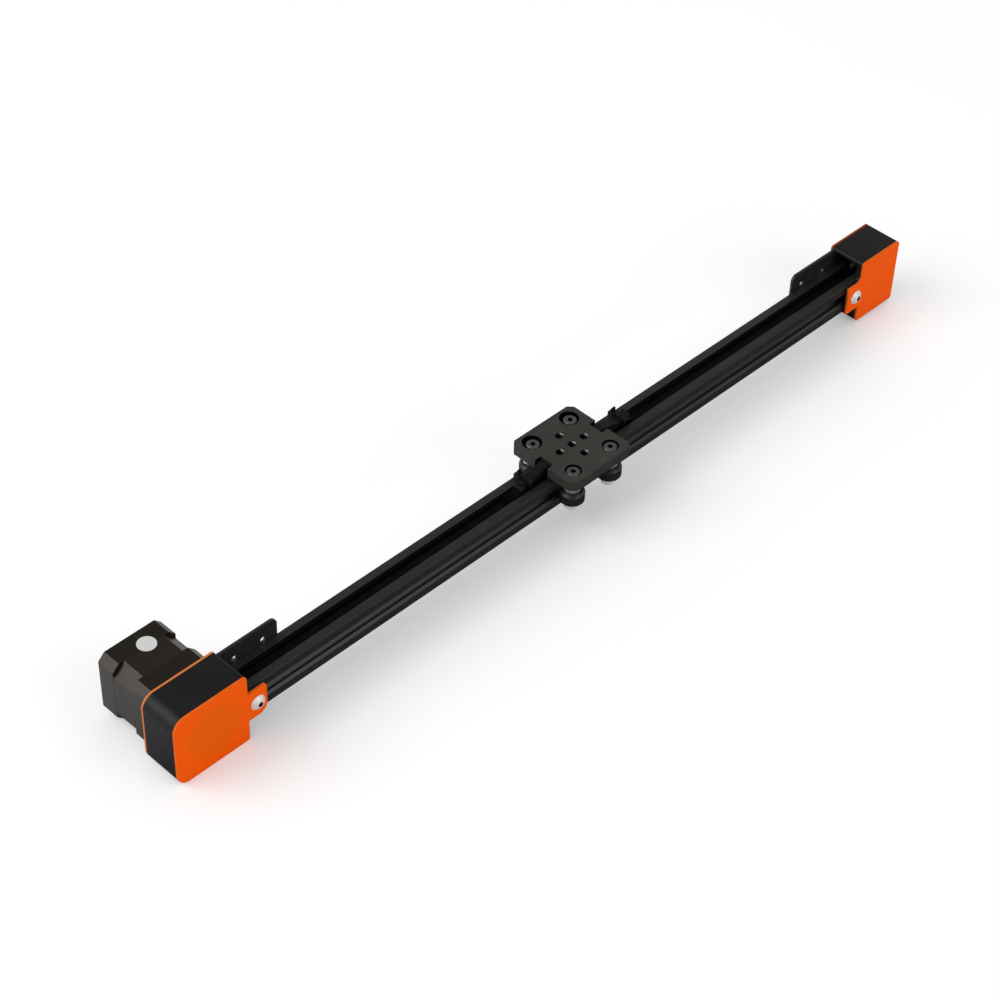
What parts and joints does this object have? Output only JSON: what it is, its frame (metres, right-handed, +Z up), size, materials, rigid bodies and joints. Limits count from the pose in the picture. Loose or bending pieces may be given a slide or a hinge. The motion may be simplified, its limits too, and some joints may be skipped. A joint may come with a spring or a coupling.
{
  "type": "belt driven linear axis",
  "caption": "Wheeled carriage on a V-slot rail, driven by a toothed belt between a stepper motor housing and an idler housing with orange covers.",
  "frame": {"origin": "middle of the carriage plate's top face, at its centre hole, with the carriage at rest", "axes": "+X along the rail from the motor end to the idler end, +Y towards the side that the motor is on, +Z up out of the carriage plate"},
  "size_m": [0.594, 0.0789, 0.048],
  "materials": {
    "rail_black": "black anodised, drawn along its length",
    "housing_black": "satin moulded black",
    "cover_orange": "glossy tinted orange sheet with bright cut edges",
    "bracket_black": "satin black coat",
    "screw_steel": "bright zinc plated",
    "motor_black": "glossy black lacquer",
    "stator_black": "black lacquered laminations",
    "label_white": "blank paper sticker",
    "socket_white": "off-white moulded",
    "belt_black": "black rubber with a dull back",
    "carriage_black": "black anodised, fine bead blasted",
    "wheel_black": "turned black acetal",
    "spacer_alu": "bright turned",
    "pulley_alu": "turned",
    "bearing_steel": "ground rings",
    "tie_black": "black nylon"
  },
  "bodies": {
    "axis_frame": {"rail": "rail_black", "motor_housing": "housing_black", "motor_cover_front": "cover_orange", "motor_plate_rear": "cover_orange", "idler_housing": "housing_black", "idler_cover_front": "cover_orange", "idler_plate_rear": "cover_orange", "switch_bracket_motor": "bracket_black", "switch_bracket_idler": "bracket_black", "tab_screws": "screw_steel", "bracket_screws": "screw_steel", "tee_nuts": "screw_steel", "motor_front_cap": "motor_black", "motor_stator": "stator_black", "motor_rear_cap": "motor_black", "motor_case_screws": "screw_steel", "motor_mount_screws": "screw_steel", "motor_bearings": "bearing_steel", "motor_connector": "socket_white", "motor_label": "label_white", "drive_belt": "belt_black", "idler_axle": "screw_steel", "idler_spacers": "spacer_alu"},
    "carriage": {"carriage_plate": "carriage_black", "wheel_screws": "screw_steel", "wheel_spacers": "spacer_alu", "eccentric_spacers": "screw_steel", "wheel_shims": "screw_steel", "wheel_nuts": "screw_steel", "belt_end_motor": "belt_black", "belt_end_idler": "belt_black", "belt_pins": "screw_steel", "cable_ties": "tie_black"},
    "wheel_near_motor_body": {"wheel_near_motor": "wheel_black", "bearings_near_motor": "bearing_steel"},
    "wheel_near_idler_body": {"wheel_near_idler": "wheel_black", "bearings_near_idler": "bearing_steel"},
    "wheel_far_motor_body": {"wheel_far_motor": "wheel_black", "bearings_far_motor": "bearing_steel"},
    "wheel_far_idler_body": {"wheel_far_idler": "wheel_black", "bearings_far_idler": "bearing_steel"},
    "drive_rotor": {"motor_shaft": "bearing_steel", "motor_rotor": "bearing_steel", "drive_pulley": "pulley_alu", "pulley_grub_screws": "screw_steel"},
    "idler_wheel": {"idler_pulley": "pulley_alu", "idler_bearings": "bearing_steel"}
  },
  "joints": [
    {"name": "carriage_slide", "type": "slide", "parent": "axis_frame", "child": "carriage", "axis": [1, 0, 0], "range_m": [-0.19, 0.184]},
    {"name": "wheel_near_motor_spin", "type": "hinge", "parent": "carriage", "child": "wheel_near_motor_body", "pos_m": [-0.0155, -0.01609, -0.0185], "axis": [0, 0, 1], "continuous": true},
    {"name": "wheel_near_idler_spin", "type": "hinge", "parent": "carriage", "child": "wheel_near_idler_body", "pos_m": [0.0155, -0.01609, -0.0185], "axis": [0, 0, 1], "continuous": true},
    {"name": "wheel_far_motor_spin", "type": "hinge", "parent": "carriage", "child": "wheel_far_motor_body", "pos_m": [-0.0155, 0.01609, -0.0185], "axis": [0, 0, 1], "continuous": true},
    {"name": "wheel_far_idler_spin", "type": "hinge", "parent": "carriage", "child": "wheel_far_idler_body", "pos_m": [0.0155, 0.01609, -0.0185], "axis": [0, 0, 1], "continuous": true},
    {"name": "motor_spin", "type": "hinge", "parent": "axis_frame", "child": "drive_rotor", "pos_m": [-0.2812, 0, -0.0185], "axis": [0, 1, 0], "continuous": true},
    {"name": "idler_spin", "type": "hinge", "parent": "axis_frame", "child": "idler_wheel", "pos_m": [0.2709, 0, -0.0185], "axis": [0, 1, 0], "continuous": true}
  ],
  "couplings": [
    {"joint": "wheel_near_motor_spin", "follows": "carriage_slide", "rad_per_m": 146.42},
    {"joint": "wheel_near_idler_spin", "follows": "carriage_slide", "rad_per_m": 146.42},
    {"joint": "wheel_far_motor_spin", "follows": "carriage_slide", "rad_per_m": -146.42},
    {"joint": "wheel_far_idler_spin", "follows": "carriage_slide", "rad_per_m": -146.42},
    {"joint": "motor_spin", "follows": "carriage_slide", "rad_per_m": 157.08},
    {"joint": "idler_spin", "follows": "carriage_slide", "rad_per_m": 157.08}
  ]
}
